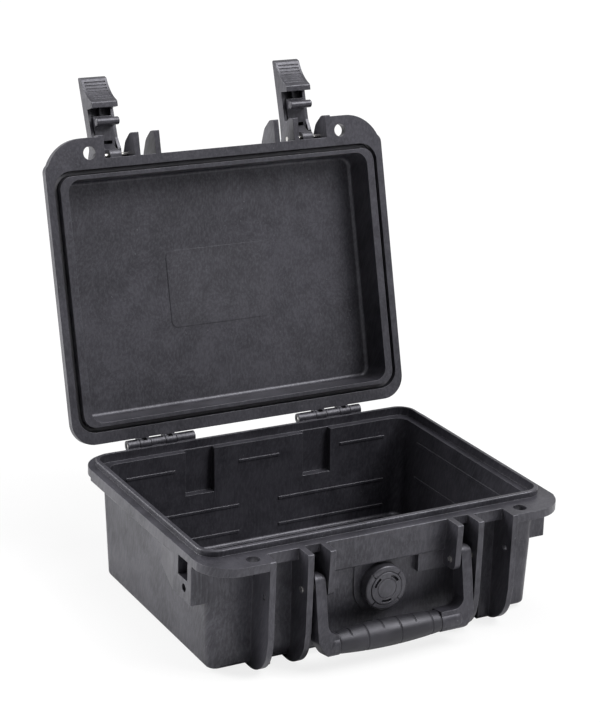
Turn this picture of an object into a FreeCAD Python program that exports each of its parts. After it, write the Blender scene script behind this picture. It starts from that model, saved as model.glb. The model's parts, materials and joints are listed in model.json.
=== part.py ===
import FreeCAD, Part
import math
import os

# Small waterproof hard case, open. Units are millimetres.
# X runs to the right seen from the front, Y to the back, Z up.
# The origin is the centre of the base, on the plane that it stands on. The lid
# and its latches are drawn closed and then turned open about the hinge line.

os.makedirs("parts", exist_ok=True)

# Driving sizes: width over the flange, half depth of the lip, rim height,
# flange thickness and how far the walls end above the ground.
half_width = 116.0
lip_half_y = 79.2
rim_top = 72.5
rim_thick = 5.0
base_lift = 2.7
overlap = 1.0
through = 1.0

# flange and corner tabs
front_lap = 6.2
back_lap = 7.6
front_radius = 6.0
back_radius = 20.5
lid_back_radius = 14.5
tab_reach = 12.2
tab_width = 35.9
tab_radius = 21.0
lid_tab_reach = 13.2
lid_tab_radius = 25.0
tab_root = 25.0
front_edge = lip_half_y + front_lap
back_edge = lip_half_y + back_lap
tab_inner = half_width - tab_width

# lip that stands on the rim, and the groove of the lid around it
parting_gap = 0.7
lip_height = 3.7
lip_inset = 5.0
lip_thick = 2.4
lip_radius = 11.0
lip_round = 0.9
lip_root = 6.0
groove_gap = 0.4
ledge_drop = 5.4
lid_plane = rim_top + parting_gap
lip_top = rim_top + lip_height
lip_half_x = half_width - lip_inset
ledge_z = lip_top - ledge_drop

# walls of the base, outside and inside
wall_inset = 8.4
wall_draft_x = 2.6
wall_lap_front = 1.8
wall_lap_back = 3.2
wall_draft_front = 1.4
wall_draft_back = 2.5
wall_radius = 6.0
wall_back_radius = 11.0
base_round = 2.0
side_wall = 3.7
end_wall = 3.6
cavity_radius = 9.0
cavity_round = 2.0
floor_thick = 2.4
pad_inset_side = 8.0
pad_inset_front = 12.0
pad_inset_back = 3.0
pad_radius = 9.0
dish_wall = 3.0
wall_top_x = half_width - wall_inset
wall_base_x = wall_top_x - wall_draft_x
wall_top_front = lip_half_y - wall_lap_front
wall_top_back = lip_half_y - wall_lap_back
wall_base_front = wall_top_front - wall_draft_front
wall_base_back = wall_top_back - wall_draft_back
cavity_top_x = wall_top_x - side_wall
cavity_base_x = wall_base_x - side_wall
cavity_top_y = wall_top_back - end_wall
cavity_base_y = wall_base_back - end_wall
floor_top = base_lift + floor_thick
pad_x = wall_base_x - pad_inset_side
pad_front = wall_base_front - pad_inset_front
pad_back = wall_base_back - pad_inset_back

# side band under the flange and strap lugs
band_drop = 6.9
band_foot_drop = 15.6
band_root = 3.0
lug_short = 5.2
lug_length = 24.0
lug_run = 62.0
lug_drop = 28.8
lug_bend = 8.0
slot_margin = 5.0
slot_length = 12.0
slot_drop = 4.6
slot_height = 11.6
slot_deep = 6.5
lug_hole_drop = 21.5
lug_hole_r = 2.4
lug_front = lip_half_y - lug_short
slot_front = lug_front - slot_margin
lug_hole_y = slot_front - slot_length * 0.36

# ribs, latch stations and front panel
rib_thick = 3.6
rib_inset = 39.5
station_width = 19.7
handle_bay = 10.2
rib_reach = 12.4
rib_mid_reach = 11.6
rib_mid_z = 25.3
rib_foot_reach = 7.8
rib_foot_radius = 21.5
rib_edge = 1.0
rib_short_drop = 28.6
rib_short_lean = 1.8
rib_short_round = 4.0
root_depth = 14.0
station_depth = 6.4
station_round = 9.0
foot_width = 7.6
foot_round = 2.0
hook_rim_proud = 0.8
hook_rim_drop = 7.3
panel_depth = 6.0
brow_proud = 0.6
brow_low_depth = 1.1
brow_drop = 19.8
key_depth = 2.2
key_left_share = 0.479
key_right_share = 0.231
key_drop = 31.0
rib_outer_x = half_width - rib_inset
rib_inner_x = rib_outer_x - station_width - rib_thick
rib_short_x = rib_inner_x - handle_bay - rib_thick
rib_front = front_edge + rib_reach
rib_back = wall_base_front - overlap
station_floor = front_edge - station_depth
station_mid = (rib_outer_x + rib_inner_x + rib_thick) / 2.0
hook_rim_front = front_edge + hook_rim_proud
hook_rim_low = rim_top - hook_rim_drop
panel_front = front_edge - panel_depth
brow_front = front_edge + brow_proud
brow_low = rim_top - brow_drop

# padlock holes
lock_inset = 6.4
lock_reach = 3.9
lock_r = 4.0
lock_x = tab_inner + lock_inset
lock_y = front_edge + lock_reach

# hinges
hinge_reach = 3.8
hinge_rise = 1.0
open_angle = 104.64
knuckle_r = 3.25
knuckle_inset = 79.4
knuckle_lengths = (12.4, 7.9, 9.4, 7.9, 7.6)
knuckle_gap = 0.35
knuckle_flat = 2.75
knuckle_sink = 1.4
hinge_pin_r = 1.5
hinge_pin_gap = 0.05
hinge_pin_short = 0.4
arm_root = 2.0
arm_low = 4.0
web_short = 0.4
hinge_y = back_edge + hinge_reach
hinge_z = rim_top + hinge_rise
knuckle_in = half_width - knuckle_inset
knuckle_out = knuckle_in + sum(knuckle_lengths)

# pockets and raised lines of the back wall
pocket_offset = 5.6
pocket_width = 19.8
pocket_drop = 30.2
pocket_deep = 3.8
pocket_wall = 2.6
pocket_floor = 4.0
pocket_bevel = 2.4
line_rise = 0.5
line_half = 0.8
line_high_drop = 13.0
line_mid_drop = 42.2
line_low_drop = 59.7
line_end = 11.0
line_break = 14.0
line_clear = 7.0
side_line_y = 52.0
pocket_in = knuckle_in - pocket_offset
pocket_out = pocket_in + pocket_width
pocket_low = rim_top - pocket_drop

# lid
ridge_inset = 2.5
ridge_lap_front = 2.4
ridge_lap_back = 3.6
ridge_rise = 7.3
ridge_radius = 19.0
lid_wall_inset = 4.3
lid_wall_lap = 0.6
lid_wall_rise = 9.7
lid_wall_radius = 13.0
lid_draft_x = 2.6
lid_draft_y = 2.0
lid_rise = 22.3
lid_round = 4.0
tray_inset = 7.7
tray_lap = 5.2
tray_draft = 1.7
tray_deep = 19.3
tray_radius = 8.0
tray_round = 2.5
inner_lip_drop = 1.7
groove_deep = 5.0
gasket_thick = 1.7
gasket_side = 0.15
panel_x = 35.0
panel_y = 24.0
panel_radius = 4.0
panel_step = 0.4
ear_reach = 14.1
ear_rise = 19.7
lid_ridge_x = half_width - ridge_inset
lid_wall_x = lid_ridge_x - lid_wall_inset
lid_wall_y = lip_half_y - lid_wall_lap
lid_top = lid_plane + lid_rise
tray_mouth_x = lip_half_x - tray_inset
tray_mouth_y = lip_half_y - tray_lap
tray_floor_z = lid_plane + tray_deep
ear_front = front_edge + ear_reach
ear_top = lid_plane + ear_rise

# Latches. Places on the lever are given from its pivot, forward and up, with
# the lid closed and the lever standing square to it.
pivot_reach = 1.3
pivot_rise = 10.4
pivot_pin_r = 1.5
pin_gap = 0.06
close_angle = 92.0
lean_left = -3.5
lean_right = 1.3
throw_y = -0.8
throw_z = 4.1
hook_pin_r = 1.0
lever_side_gap = 1.25
cheek_thick = 2.1
lever_heel = 5.1
lever_back = 17.5
lever_floor = 2.0
lever_bend = 11.3
lever_tip = 51.3
lever_tip_up = 21.1
lever_tip_round = 1.2
cheek_up = 7.3
cheek_bend_up = 10.4
cheek_far_up = 12.1
cheek_slope = 7.0
pad_lip = 30.0
pad_lip_thick = 3.5
pad_lip_up = 4.0
pad_bend = 39.8
pad_bend_up = 13.6
pad_end = 49.2
pad_end_up = 16.6
pad_hollow_r = 24.0
pad_wall = 2.6
pad_grooves = 7
pad_groove_r = 0.45
pad_groove_end = 1.6
lobe_half = 3.8
lobe_r = 3.8
lobe_wall = 2.0
lobe_root = 7.8
lobe_round = 1.6
spine_half = 0.6
spine_gap = 0.6
hook_lever_gap = 0.3
hook_arm_inner = 4.3
hook_arm_outer = 6.2
hook_half = 7.5
hook_leg = 1.9
hook_lobe_r = 2.2
hook_bar_r = 2.5
hook_bar_round = 0.6
hook_bar_depth = 1.2
hook_plate_up = 9.7
hook_plate_thick = 2.2
hook_plate_reach = 25.3
hook_lap = 1.5
hook_strut = 2.0
hook_strut_thin = 1.6
hook_strut_wide = 2.9
hook_fold = 12.0
rim_clear = 0.35
pivot_y = front_edge + pivot_reach
pivot_z = lid_plane + pivot_rise
lever_half = station_width / 2.0 - lever_side_gap
hook_bar_y = front_edge - hook_bar_depth

# handle, hanging from its pins
handle_reach = 5.4
handle_pin_drop = 23.0
grip_lean = 10.3
handle_pin_r = 1.9
handle_pin_proud = 0.4
handle_side_gap = 2.6
handle_arm = 6.4
handle_eye = 8.0
handle_depth = 10.4
handle_drop = 34.6
grip_lead_left = 6.7
grip_lead_right = 15.2
handle_cut_x = 5.5
handle_cut_z = 9.5
handle_outer_round = 4.0
handle_inner_round = 6.5
handle_eye_round = 3.0
grip_r = 8.0
grip_end_r = 6.2
core_r = 4.2
knob_short = 1.2
knob_round = 2.4
core_lap = 2.0
grip_groove = 0.45
grip_groove_half = 0.35
grip_ring_lead_left = 17.5
grip_ring_lead_right = 6.6
grip_rings = 3
handle_y = front_edge + handle_reach
handle_z = rim_top - handle_pin_drop
handle_arm_out = rib_inner_x - handle_side_gap
handle_arm_in = handle_arm_out - handle_arm
grip_half = handle_arm_in - (grip_lead_left + grip_lead_right) / 2.0
grip_mid = (grip_lead_left - grip_lead_right) / 2.0

# pressure valve
valve_drop = 35.0
valve_r = 13.4
valve_reach = 2.0
valve_plate_depth = 5.0
valve_plate_r = 17.4
valve_plate_flat = 0.6
valve_edge = 1.2
valve_stem_r = 8.0
valve_stem_gap = 0.05
valve_stem_proud = 0.4
valve_bore_r = 5.2
valve_cap_r = 10.2
valve_cap_gap = 0.3
valve_cap_deep = 2.0
valve_cap_rise = 0.5
valve_cap_edge = 0.5
valve_face_r = 6.0
valve_face_line = 0.25
valve_face_deep = 0.35
valve_slot_in = 7.0
valve_slot_out = 8.5
valve_slot_span = 46.0
valve_notch = 0.7
valve_notch_deep = 1.0
seal_r = 0.9
seal_tube = 0.63
seal_seat = 1.3
seal_ring_r = 9.6
membrane_r = 5.18
membrane_gap = 0.3
membrane_thick = 0.5
valve_z = rim_top - valve_drop
valve_front = front_edge + valve_reach
valve_plate_front = front_edge - valve_plate_depth
valve_plate_round = valve_plate_r - valve_plate_flat
valve_stem_end = cavity_base_y - valve_stem_proud
valve_cap_back = valve_front - valve_cap_deep


def vec(x, y, z):
    return FreeCAD.Vector(x, y, z)


def box(x0, x1, y0, y1, z0, z1):
    return Part.makeBox(x1 - x0, y1 - y0, z1 - z0, vec(x0, y0, z0))


def rod(x0, x1, y, z, radius):
    """Cylinder that lies along X."""
    return Part.makeCylinder(radius, x1 - x0, vec(x0, y, z), vec(1, 0, 0))


def disc(radius, front, back, z=valve_z):
    """Round plate that faces the front, between two depths."""
    return Part.makeCylinder(radius, front - back, vec(0, -front, z), vec(0, 1, 0))


def corner_points(before, corner, after, radius):
    """Start, middle and end of the arc that rounds one corner."""
    to_before = (before - corner).normalize()
    to_after = (after - corner).normalize()
    half = math.acos(max(-1.0, min(1.0, to_before.dot(to_after)))) / 2.0
    reach = radius / math.tan(half)
    middle = (to_before + to_after).normalize()
    centre = corner + middle * (radius / math.sin(half))
    return corner + to_before * reach, centre - middle * radius, corner + to_after * reach


def outline(points):
    """Closed wire from (point, radius) pairs, corners with a radius are arcs."""
    arcs = []
    ends = []
    count = len(points)
    for index in range(count):
        before = points[index - 1][0]
        corner, radius = points[index]
        after = points[(index + 1) % count][0]
        if radius > 0:
            first, middle, last = corner_points(before, corner, after, radius)
            arcs.append(Part.Arc(first, middle, last).toShape())
            ends.append((first, last))
        else:
            arcs.append(None)
            ends.append((corner, corner))
    path = []
    for index in range(count):
        if arcs[index] is not None:
            path.append(arcs[index])
        start = ends[index][1]
        stop = ends[(index + 1) % count][0]
        if start.distanceToPoint(stop) > 1e-6:
            path.append(Part.makeLine(start, stop))
    return Part.Wire(path)


def side_plate(points, x0, x1):
    """Plate between two X planes from a (y, z, radius) outline."""
    corners = [(vec(x0, y, z), radius) for y, z, radius in points]
    return Part.Face(outline(corners)).extrude(vec(x1 - x0, 0, 0))


def flat_plate(points, z0, z1):
    """Plate between two heights from an (x, y, radius) outline."""
    corners = [(vec(x, y, z0), radius) for x, y, radius in points]
    return Part.Face(outline(corners)).extrude(vec(0, 0, z1 - z0))


def front_plate(points, y0, y1):
    """Plate between two Y planes from an (x, z, radius) outline."""
    corners = [(vec(x, y0, z), radius) for x, z, radius in points]
    return Part.Face(outline(corners)).extrude(vec(0, y1 - y0, 0))


def loop(hx, front, back, r_front, r_back, z):
    """Rounded rectangle about X = 0 at one height."""
    corners = [
        (vec(-hx, -front, z), r_front),
        (vec(hx, -front, z), r_front),
        (vec(hx, back, z), r_back),
        (vec(-hx, back, z), r_back),
    ]
    return outline(corners)


def slab(hx, front, back, radius, z0, z1):
    face = Part.Face(loop(hx, front, back, radius, radius, z0))
    return face.extrude(vec(0, 0, z1 - z0))


def tapered(sections):
    """Solid through rounded rectangles (hx, front, back, radius, z)."""
    wires = [loop(hx, front, back, radius, radius, z) for hx, front, back, radius, z in sections]
    return Part.makeLoft(wires, True, True)


def mirrored(shape):
    return shape.mirror(vec(0, 0, 0), vec(1, 0, 0))


def both_sides(shapes):
    """A piece or a list of pieces, with their mirror images."""
    if not isinstance(shapes, list):
        shapes = [shapes]
    return shapes + [mirrored(shape) for shape in shapes]


def joined(shapes):
    result = shapes[0]
    if len(shapes) > 1:
        result = result.multiFuse(shapes[1:])
    return result.removeSplitter()


def joined_tool(shapes):
    return shapes[0].multiFuse(shapes[1:])


def turned_about(shape, y, z, degrees):
    """Turns a piece about an axis along X."""
    turned = shape.copy()
    turned.rotate(vec(0, y, z), vec(1, 0, 0), degrees)
    return turned


def opened(shape):
    """Turns a piece from the closed lid to the open lid."""
    return turned_about(shape, hinge_y, hinge_z, -open_angle)


def turned_point(y, z, degrees):
    """Turns a (y, z) offset by an angle about X."""
    angle = math.radians(degrees)
    return y * math.cos(angle) - z * math.sin(angle), y * math.sin(angle) + z * math.cos(angle)


def edges_at(shape, test):
    return [edge for edge in shape.Edges if test(edge.CenterOfMass)]


def edges_above(shape, z):
    return [edge for edge in shape.Edges if edge.BoundBox.ZMin > z - 0.01]


def edges_below(shape, z):
    return [edge for edge in shape.Edges if edge.BoundBox.ZMax < z + 0.01]


def lip_loop(side, radius_change, z0, z1):
    """Slab with the lip's outline, moved outwards by a distance."""
    return slab(lip_half_x + side, lip_half_y + side, lip_half_y + side, lip_radius + radius_change, z0, z1)


def flange(z0, tab_out, tab_round, back_round):
    """Flange with its rounded corners and the two front corner tabs."""
    z1 = z0 + rim_thick
    plate = Part.Face(loop(half_width, front_edge, back_edge, front_radius, back_round, z0))
    tab = flat_plate([
        (tab_inner, -front_edge - tab_out, 0),
        (half_width, -front_edge - tab_out, tab_round),
        (half_width, -front_edge + tab_root, 0),
        (tab_inner, -front_edge + tab_root, 0),
    ], z0, z1)
    return [plate.extrude(vec(0, 0, rim_thick))] + both_sides(tab)


def padlock_holes(z0, z1):
    hole = Part.makeCylinder(lock_r, z1 - z0, vec(lock_x, -lock_y, z0))
    return both_sides(hole)


def long_rib(x0):
    """Rib from the rim down to the ground, with a big rounded foot."""
    return side_plate([
        (-rib_back, rim_top, 0),
        (-rib_front, rim_top, rib_edge),
        (-front_edge - rib_mid_reach, rib_mid_z, 0),
        (-front_edge - rib_foot_reach, 0, rib_foot_radius),
        (-pad_front + overlap, 0, 0),
        (-pad_front + overlap, base_lift + overlap, 0),
        (-rib_back, base_lift + overlap, 0),
    ], x0, x0 + rib_thick)


def short_rib(x0):
    """Rib that carries the inner end of a handle pin."""
    low = rim_top - rib_short_drop
    return side_plate([
        (-rib_back, rim_top, 0),
        (-rib_front, rim_top, rib_edge),
        (-rib_front + rib_short_lean, low, rib_short_round),
        (-rib_back, low, 0),
    ], x0, x0 + rib_thick)


def front_wall_plate(front, low, radius, x0, x1):
    """Flat front face that is backed by the wall and rounded at its foot."""
    back = -wall_base_front + root_depth
    return side_plate([
        (back, rim_top - overlap, 0),
        (-front, rim_top - overlap, 0),
        (-front, low, radius),
        (back, low, 0),
    ], x0, x1)


def latch_station():
    """Floor of the bay between two long ribs, its foot and the rim for the hook."""
    x0 = rib_inner_x + rib_thick / 2.0
    x1 = rib_outer_x + rib_thick / 2.0
    floor = front_wall_plate(station_floor, base_lift, station_round, x0, x1)
    foot = front_wall_plate(station_floor, 0, foot_round, rib_outer_x - foot_width, x1)
    under = box(x0 - overlap, x1 + overlap, -pad_front + overlap, 0, -overlap, floor_top)
    hook_rim = side_plate([
        (-wall_base_front, hook_rim_low, 0),
        (-hook_rim_front, hook_rim_low, hook_rim_proud),
        (-hook_rim_front, rim_top, hook_rim_proud / 2.0),
        (-wall_base_front, rim_top, 0),
    ], x0, x1)
    return [floor, foot.cut(under), hook_rim]


def front_panel():
    """Panel between the latch stations, the brow above it and the valve's plate."""
    x1 = rib_inner_x + rib_thick / 2.0
    panel = front_wall_plate(panel_front, base_lift, station_round, -x1, x1)
    brow_x = rib_short_x + rib_thick / 2.0
    brow = side_plate([
        (-wall_base_front, brow_low, 0),
        (-front_edge + brow_low_depth, brow_low, brow_low_depth),
        (-brow_front, rim_top, brow_proud),
        (-wall_base_front, rim_top, 0),
    ], -brow_x, brow_x)
    key_front = front_edge - key_depth
    key_low = rim_top - key_drop
    key_top = brow_low + overlap
    free = brow_x - valve_plate_r
    left_x = valve_plate_r + free * key_left_share
    right_x = valve_plate_r + free * key_right_share
    left_key = box(-brow_x, -left_x, -key_front, -wall_base_front, key_low, key_top)
    right_key = box(right_x, brow_x, -key_front, -wall_base_front, key_low, key_top)
    plate = front_plate([
        (-valve_plate_r, brow_low + overlap, 0),
        (-valve_plate_r, valve_z - valve_plate_r, valve_plate_round),
        (valve_plate_r, valve_z - valve_plate_r, valve_plate_round),
        (valve_plate_r, brow_low + overlap, 0),
    ], -valve_plate_front, -wall_base_front)
    return [panel, brow, left_key, right_key, plate]


def side_band():
    """Sloping band under the flange, seen from the side."""
    band = front_plate([
        (wall_top_x - band_root, rim_top - band_foot_drop, 0),
        (wall_top_x, rim_top - band_foot_drop, 0),
        (half_width, rim_top - band_drop, band_root / 2.0),
        (half_width, rim_top - overlap, 0),
        (wall_top_x - band_root, rim_top - overlap, 0),
    ], -lug_front, back_edge - back_radius)
    return band


def strap_lug():
    """Thick part of the side with the strap slot, it fades out to the back."""
    return flat_plate([
        (wall_base_x - overlap, -lug_front, 0),
        (half_width, -lug_front, overlap),
        (half_width, -lug_front + lug_length, lug_bend),
        (wall_base_x + overlap, -lug_front + lug_run, 0),
        (wall_base_x - overlap, -lug_front + lug_run, 0),
    ], rim_top - lug_drop, rim_top - overlap)


def strap_cuts():
    x0 = half_width - slot_deep
    slot_high = rim_top - slot_drop
    slot = box(x0, half_width + through, -slot_front, -slot_front + slot_length,
               slot_high - slot_height, slot_high)
    hole = rod(x0, half_width + through, -lug_hole_y, rim_top - lug_hole_drop, lug_hole_r)
    return both_sides([slot, hole])


def knuckle_spans():
    """X spans of the knuckles, from the inner end outwards."""
    spans = []
    start = knuckle_in
    for length in knuckle_lengths:
        spans.append((start, start + length))
        start = start + length
    return spans


def body_knuckles():
    """Every second knuckle stands on the base, flattened on its top."""
    shapes = []
    for x0, x1 in knuckle_spans()[0::2]:
        barrel = rod(x0, x1, hinge_y, hinge_z, knuckle_r)
        arm = side_plate([
            (back_edge - arm_root, rim_top - rim_thick, 0),
            (back_edge - arm_root, rim_top, 0),
            (hinge_y, rim_top, 0),
            (hinge_y + knuckle_r * 0.96, hinge_z - knuckle_r * 0.2, 0),
            (hinge_y, rim_top - arm_low, 0),
        ], x0, x1)
        top = box(x0 + knuckle_sink, x1 - knuckle_sink, hinge_y - knuckle_sink, hinge_y + knuckle_sink,
                  hinge_z + knuckle_flat, hinge_z + knuckle_r + through)
        shapes.append(joined([barrel, arm]).cut(top))
    return shapes


def lid_knuckles():
    """The knuckles between them belong to the lid, drawn closed."""
    shapes = []
    high = lid_plane + rim_thick
    for start, stop in knuckle_spans()[1::2]:
        x0 = start + knuckle_gap
        x1 = stop - knuckle_gap
        barrel = rod(x0, x1, hinge_y, hinge_z, knuckle_r)
        arm = side_plate([
            (back_edge - arm_root, lid_plane, 0),
            (hinge_y - knuckle_r * 0.8, lid_plane, 0),
            (hinge_y + knuckle_r * 0.3, hinge_z + knuckle_r * 0.3, 0),
            (hinge_y + knuckle_r * 0.7, hinge_z + knuckle_r * 0.7, 0),
            (hinge_y, high, hinge_pin_r),
            (back_edge - arm_root, high, 0),
        ], x0, x1)
        window = box(x0 + arm_root, x1 - arm_root, hinge_y - knuckle_r * 1.05, hinge_y - knuckle_r * 0.58,
                     lid_plane - arm_root, hinge_z + knuckle_sink)
        shapes.append(joined([barrel, arm]).cut(window))
    return shapes


def hinge_bores(gap):
    bore = rod(knuckle_in - through, knuckle_out + through, hinge_y, hinge_z, hinge_pin_r + gap)
    return both_sides(bore)


def hinge_web():
    """Web under the knuckles that runs into the back wall."""
    return side_plate([
        (wall_base_back - overlap, rim_top - band_foot_drop, 0),
        (back_edge - web_short, rim_top - rim_thick + web_short, 0),
        (wall_base_back - overlap, rim_top - overlap, 0),
    ], knuckle_in + overlap, knuckle_out - overlap)


def pocket_bump():
    """Outside of a wall pocket, bevelled at its foot."""
    bump = box(pocket_in - pocket_wall, pocket_out + pocket_wall, wall_base_back - pocket_wall,
               cavity_top_y + pocket_deep + pocket_wall, pocket_low - pocket_floor, rim_top - overlap)
    foot = edges_at(bump, lambda p: p.y > wall_top_back and p.z < pocket_low)
    return bump.makeChamfer(pocket_bevel, foot)


def pocket_hollow():
    return box(pocket_in, pocket_out, cavity_base_y - pocket_floor, cavity_top_y + pocket_deep,
               pocket_low, ledge_z + lip_round)


def cavity_at(base, top, z):
    """Half size of the tapered cavity at one height."""
    share = (z - floor_top) / (ledge_z - floor_top)
    return base + (top - base) * share


def back_line(x0, x1, z):
    """Raised line on the inside of the back wall."""
    y = cavity_at(cavity_base_y, cavity_top_y, z)
    return box(min(x0, x1), max(x0, x1), y - line_rise, y + overlap, z - line_half, z + line_half)


def raised_lines():
    """Raised lines inside: three rows at the back, two on each side wall."""
    outer = cavity_base_x - line_end
    high = rim_top - line_high_drop
    lines = [back_line(-line_break, line_break, high)]
    for side in (-1, 1):
        lines.append(back_line(side * (pocket_out + line_clear), side * outer, high))
        for drop in (line_mid_drop, line_low_drop):
            lines.append(back_line(side * line_break, side * outer, rim_top - drop))
    for drop in (line_high_drop, (line_high_drop + line_low_drop) / 2.0):
        z = rim_top - drop
        x = cavity_at(cavity_base_x, cavity_top_x, z)
        line = box(x - line_rise, x + overlap, -side_line_y, side_line_y, z - line_half, z + line_half)
        lines.extend(both_sides(line))
    return lines


def cavity_cuts():
    """Hollow of the base, its mouth inside the lip and the dished floor."""
    cavity = tapered([
        (cavity_base_x, cavity_base_y, cavity_base_y, cavity_radius - cavity_round, floor_top),
        (cavity_top_x, cavity_top_y, cavity_top_y, cavity_radius, ledge_z + lip_round),
    ])
    cavity = cavity.makeFillet(cavity_round, edges_below(cavity, floor_top))
    mouth = lip_loop(-lip_thick, -lip_thick, ledge_z, lip_top + through)
    dish = slab(pad_x - dish_wall, pad_front - dish_wall, pad_back - dish_wall, pad_radius - dish_wall,
                floor_thick, floor_top + through)
    return [cavity, mouth, dish] + both_sides(pocket_hollow())


def lower_shell():
    foot = loop(wall_base_x, wall_base_front, wall_base_back, wall_radius, wall_back_radius, base_lift)
    head = loop(wall_top_x, wall_top_front, wall_top_back, wall_radius, wall_back_radius, rim_top - overlap)
    walls = Part.makeLoft([foot, head], True, True)
    walls = walls.makeFillet(base_round, edges_below(walls, base_lift))
    pad = slab(pad_x, pad_front, pad_back, pad_radius, 0, base_lift + overlap)
    lip = lip_loop(0, 0, ledge_z - lip_root, lip_top)
    lip = lip.makeFillet(lip_round, edges_above(lip, lip_top))
    parts = [walls, pad, lip] + flange(rim_top - rim_thick, tab_reach, tab_radius, back_radius)
    parts.extend(both_sides([side_band(), strap_lug(), hinge_web(), pocket_bump()]))
    parts.extend(both_sides([long_rib(rib_outer_x), long_rib(rib_inner_x), short_rib(rib_short_x)]))
    parts.extend(both_sides(latch_station()))
    parts.extend(front_panel())
    parts.extend(both_sides(body_knuckles()))
    shell = joined(parts)

    cuts = cavity_cuts()
    cuts.extend(padlock_holes(rim_top - rim_thick - through, rim_top + through))
    cuts.extend(strap_cuts())
    cuts.extend(hinge_bores(hinge_pin_gap))
    axle = rod(rib_short_x - through, rib_outer_x + rib_thick + through, -handle_y, handle_z,
               handle_pin_r + hinge_pin_gap)
    cuts.extend(both_sides(axle))
    cuts.append(disc(valve_stem_r + valve_stem_gap, valve_front, valve_stem_end - through))
    shell = shell.cut(joined_tool(cuts))
    return joined([shell] + raised_lines())


def lid_ear(x0):
    """Ear of the lid in line with a rib, rounded over at the top."""
    return side_plate([
        (-wall_base_front, lid_plane, 0),
        (-ear_front, lid_plane, rib_edge / 2.0),
        (-ear_front, lid_plane + ear_rise * 0.27, ear_rise * 0.3),
        (-ear_front + ear_reach * 0.34, ear_top - ear_rise * 0.31, ear_rise * 0.4),
        (-front_edge, ear_top, ear_rise * 0.35),
        (-wall_base_front, ear_top, 0),
    ], x0, x0 + rib_thick)


def lid_shell():
    walls = tapered([
        (lid_ridge_x, lip_half_y + ridge_lap_front, lip_half_y + ridge_lap_back, ridge_radius,
         lid_plane + overlap),
        (lid_ridge_x, lip_half_y + ridge_lap_front, lip_half_y + ridge_lap_back, ridge_radius,
         lid_plane + ridge_rise),
        (lid_wall_x, lid_wall_y, lid_wall_y, lid_wall_radius, lid_plane + lid_wall_rise),
        (lid_wall_x - lid_draft_x, lid_wall_y - lid_draft_y, lid_wall_y - lid_draft_y,
         lid_wall_radius - overlap, lid_top),
    ])
    walls = walls.makeFillet(lid_round, edges_above(walls, lid_top))
    inner_side = -lip_thick - groove_gap
    inner = lip_loop(inner_side, inner_side, lid_plane - inner_lip_drop, lid_plane + overlap)
    parts = [walls, inner] + flange(lid_plane, lid_tab_reach, lid_tab_radius, lid_back_radius)
    parts.extend(both_sides([lid_ear(x0) for x0 in (rib_outer_x, rib_inner_x, rib_short_x)]))
    parts.extend(both_sides(lid_knuckles()))
    shell = joined(parts)

    tray = tapered([
        (tray_mouth_x, tray_mouth_y, tray_mouth_y, tray_radius, lid_plane - inner_lip_drop - through),
        (tray_mouth_x - tray_draft, tray_mouth_y - tray_draft, tray_mouth_y - tray_draft,
         tray_radius - overlap, tray_floor_z),
    ])
    tray = tray.makeFillet(tray_round, edges_above(tray, tray_floor_z))
    groove = lip_loop(groove_gap, groove_gap, lid_plane - through, lid_plane + groove_deep)
    keep = lip_loop(inner_side, inner_side, lid_plane - inner_lip_drop - through,
                    lid_plane + groove_deep + through)
    cuts = [tray, groove.cut(keep)]
    cuts.extend(padlock_holes(lid_plane - through, lid_plane + rim_thick + through))
    pin = rod(rib_inner_x - through, rib_outer_x + rib_thick + through, -pivot_y, pivot_z,
              pivot_pin_r + hinge_pin_gap)
    cuts.extend(both_sides(pin))
    cuts.extend(hinge_bores(pin_gap))
    shell = shell.cut(joined_tool(cuts))
    panel = slab(panel_x, panel_y, panel_y, panel_radius, tray_floor_z - panel_step,
                 tray_floor_z + panel_step)
    return opened(joined([shell, panel]))


def lid_gasket():
    """Flat ring at the bottom of the lid's groove."""
    outer_side = groove_gap - gasket_side
    inner_side = gasket_side - lip_thick - groove_gap
    top = lid_plane + groove_deep
    ring = lip_loop(outer_side, outer_side, top - gasket_thick, top)
    hole = lip_loop(inner_side, inner_side, top - gasket_thick - through, top + through)
    return opened(ring.cut(hole))


def on_latch(forward, up, radius=0):
    """Outline point given from the lever's pivot, with the lid closed."""
    return -pivot_y - forward, pivot_z + up, radius


def stood(shape, side):
    """Turns a latch piece to its lean on the lid and then with the open lid."""
    lean = lean_left if side < 0 else lean_right
    return opened(turned_about(shape, -pivot_y, pivot_z, lean))


def hook_pivot():
    """Hook pin on the standing lever, from its place on the shut lever."""
    dy, dz = turned_point(throw_y, throw_z, -close_angle)
    return -pivot_y + dy, pivot_z + dz


def hook_bar_place():
    """Catch bar beside the standing lever.

    Shut, the bar lies under the rim for the hook. The length from the hook
    pin to the bar stays the same, and the hook swings by hook_fold about it.
    """
    bar_z = hook_rim_low - hook_bar_r - rim_clear
    open_y, open_z = turned_point(pivot_y - hook_bar_y, bar_z - pivot_z, -close_angle)
    pin_y, pin_z = hook_pivot()
    off_y = -pivot_y + open_y - pin_y
    off_z = pivot_z + open_z - pin_z
    rest_y, rest_z = turned_point(off_y, off_z, -hook_fold)
    return pin_y + rest_y, pin_z + rest_z


def pad_hollow():
    """Three corners of the finger pad's hollow, from its tip to its lip."""
    return [
        on_latch(pad_end, pad_end_up, lever_tip_round),
        on_latch(pad_bend, pad_bend_up, pad_hollow_r),
        on_latch(pad_lip + pad_lip_thick, pad_lip_up, lever_tip_round),
    ]


def pad_rods(x0, x1):
    """Fine grooves across the finger pad, spaced along its hollow."""
    points = [vec(0, y, z) for y, z, radius in pad_hollow()]
    curve = Part.Arc(*corner_points(points[0], points[1], points[2], pad_hollow_r))
    first, last = curve.FirstParameter, curve.LastParameter
    rods = []
    for index in range(pad_grooves):
        point = curve.value(first + (last - first) * (index + 0.5) / pad_grooves)
        rods.append(rod(x0 + pad_groove_end, x1 - pad_groove_end, point.y, point.z, pad_groove_r))
    return rods


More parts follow.
